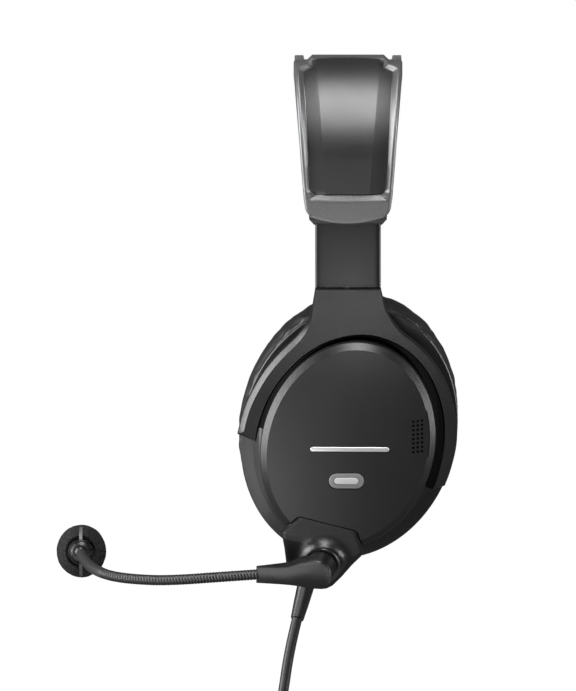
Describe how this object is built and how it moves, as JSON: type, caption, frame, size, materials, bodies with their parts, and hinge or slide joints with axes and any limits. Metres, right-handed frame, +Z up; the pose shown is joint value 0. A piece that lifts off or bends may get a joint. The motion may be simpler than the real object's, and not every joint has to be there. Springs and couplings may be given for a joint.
{
  "type": "aviation headset",
  "caption": "Over-ear aviation headset with sprung hinged headband, sliding yokes, tilting oval cups, a swinging gooseneck boom microphone and a coiled cord with a round aircraft connector.",
  "frame": {"origin": "centre of the underside of the crown cushion, where the headset rests on the wearer's head", "axes": "+Z up, the wearer faces -X, the wearer's left ear cup is at -Y and the right one at +Y"},
  "size_m": [0.1647, 0.1694, 0.3864],
  "materials": {
    "cast_grey": "fine grained satin paint",
    "satin_inlay": "satin",
    "black_leather": "soft wrinkled",
    "steel": "satin",
    "black_plastic": "fine moulded satin",
    "grey_insert": "satin",
    "silver_trim": "satin",
    "circuit_board": "solder mask",
    "black_cloth": "fine weave",
    "black_foam": "open cell foam",
    "black_rubber": "satin",
    "hook_strap": "woven"
  },
  "bodies": {
    "crown": {"crown_bridge": "cast_grey", "crown_cushion": "black_leather", "crown_pin_left": "steel", "crown_pin_right": "steel", "crown_spring_left": "steel", "crown_spring_right": "steel"},
    "left_arm": {"left_arm_frame": "cast_grey", "left_arm_inlay": "satin_inlay", "left_arm_liner": "black_plastic"},
    "left_slider": {"left_slider_band": "black_plastic", "left_swivel_post": "steel"},
    "left_fork": {"left_yoke": "black_plastic", "left_pivot_pin_front": "steel", "left_pivot_pin_rear": "steel"},
    "left_cup": {"left_cup_housing": "black_plastic", "left_cup_cover": "black_plastic", "left_port_insert": "grey_insert", "left_trim_bar": "silver_trim", "left_baffle": "black_plastic", "left_driver": "steel", "left_circuit_board": "circuit_board", "left_ear_cushion": "black_leather", "left_ear_screen": "black_cloth", "boom_module": "black_plastic", "boom_axle": "steel", "strain_relief": "black_rubber", "cable": "black_rubber", "cable_coil": "black_rubber", "cable_tie": "hook_strap", "cable_tail": "black_rubber", "connector_shell": "steel", "connector_insert": "black_plastic"},
    "right_arm": {"right_arm_frame": "cast_grey", "right_arm_inlay": "satin_inlay", "right_arm_liner": "black_plastic"},
    "right_slider": {"right_slider_band": "black_plastic", "right_swivel_post": "steel"},
    "right_fork": {"right_yoke": "black_plastic", "right_pivot_pin_front": "steel", "right_pivot_pin_rear": "steel"},
    "right_cup": {"right_cup_housing": "black_plastic", "right_cup_cover": "black_plastic", "right_port_insert": "grey_insert", "right_trim_bar": "silver_trim", "right_baffle": "black_plastic", "right_driver": "steel", "right_circuit_board": "circuit_board", "right_ear_cushion": "black_leather", "right_ear_screen": "black_cloth", "blank_module": "black_plastic"},
    "connector_grip": {"connector_sleeve": "steel"},
    "boom": {"boom_arm": "black_plastic", "gooseneck": "black_rubber", "gooseneck_sleeve": "black_plastic"},
    "microphone": {"mic_housing": "black_plastic", "mic_capsule": "steel", "windscreen": "black_foam"}
  },
  "joints": [
    {"name": "left_arm_hinge", "type": "hinge", "parent": "crown", "child": "left_arm", "pos_m": [0, -0.012, 0.0179], "axis": [-1, 0, 0], "range_deg": [0, 20], "stiffness_Nm_per_rad": 0.9, "springref_deg": -11.46},
    {"name": "left_slider_travel", "type": "slide", "parent": "left_arm", "child": "left_slider", "axis": [0, 0.1392, -0.9903], "range_m": [-0.018, 0.005]},
    {"name": "left_yoke_swivel", "type": "hinge", "parent": "left_slider", "child": "left_fork", "pos_m": [0, -0.07294, -0.07133], "axis": [0, -0.1392, 0.9903], "range_deg": [-15, 15]},
    {"name": "left_cup_tilt", "type": "hinge", "parent": "left_fork", "child": "left_cup", "pos_m": [-0.0006, -0.06313, -0.14115], "axis": [0.9686, 0.0346, -0.2463], "range_deg": [-12, 4]},
    {"name": "right_arm_hinge", "type": "hinge", "parent": "crown", "child": "right_arm", "pos_m": [0, 0.012, 0.0179], "axis": [1, 0, 0], "range_deg": [0, 20], "stiffness_Nm_per_rad": 0.9, "springref_deg": -11.46},
    {"name": "right_slider_travel", "type": "slide", "parent": "right_arm", "child": "right_slider", "axis": [0, -0.1392, -0.9903], "range_m": [-0.018, 0.005]},
    {"name": "right_yoke_swivel", "type": "hinge", "parent": "right_slider", "child": "right_fork", "pos_m": [0, 0.07294, -0.07133], "axis": [0, 0.1392, 0.9903], "range_deg": [-15, 15]},
    {"name": "right_cup_tilt", "type": "hinge", "parent": "right_fork", "child": "right_cup", "pos_m": [-0.0006, 0.06313, -0.14115], "axis": [-0.9686, 0.0346, 0.2463], "range_deg": [-12, 4]},
    {"name": "boom_turn", "type": "hinge", "parent": "left_cup", "child": "boom", "pos_m": [-0.01026, -0.06316, -0.1824], "axis": [-0.198, -0.9002, -0.3879], "range_deg": [-30, 35]},
    {"name": "mic_swivel", "type": "hinge", "parent": "boom", "child": "microphone", "pos_m": [-0.10877, -0.0161, -0.17918], "axis": [0, 0, 1], "range_deg": [-15, 15]},
    {"name": "connector_grip_slide", "type": "slide", "parent": "left_cup", "child": "connector_grip", "axis": [0, 0, 1], "range_m": [0, 0.002], "stiffness_N_per_m": 400, "springref_m": -0.001}
  ]
}
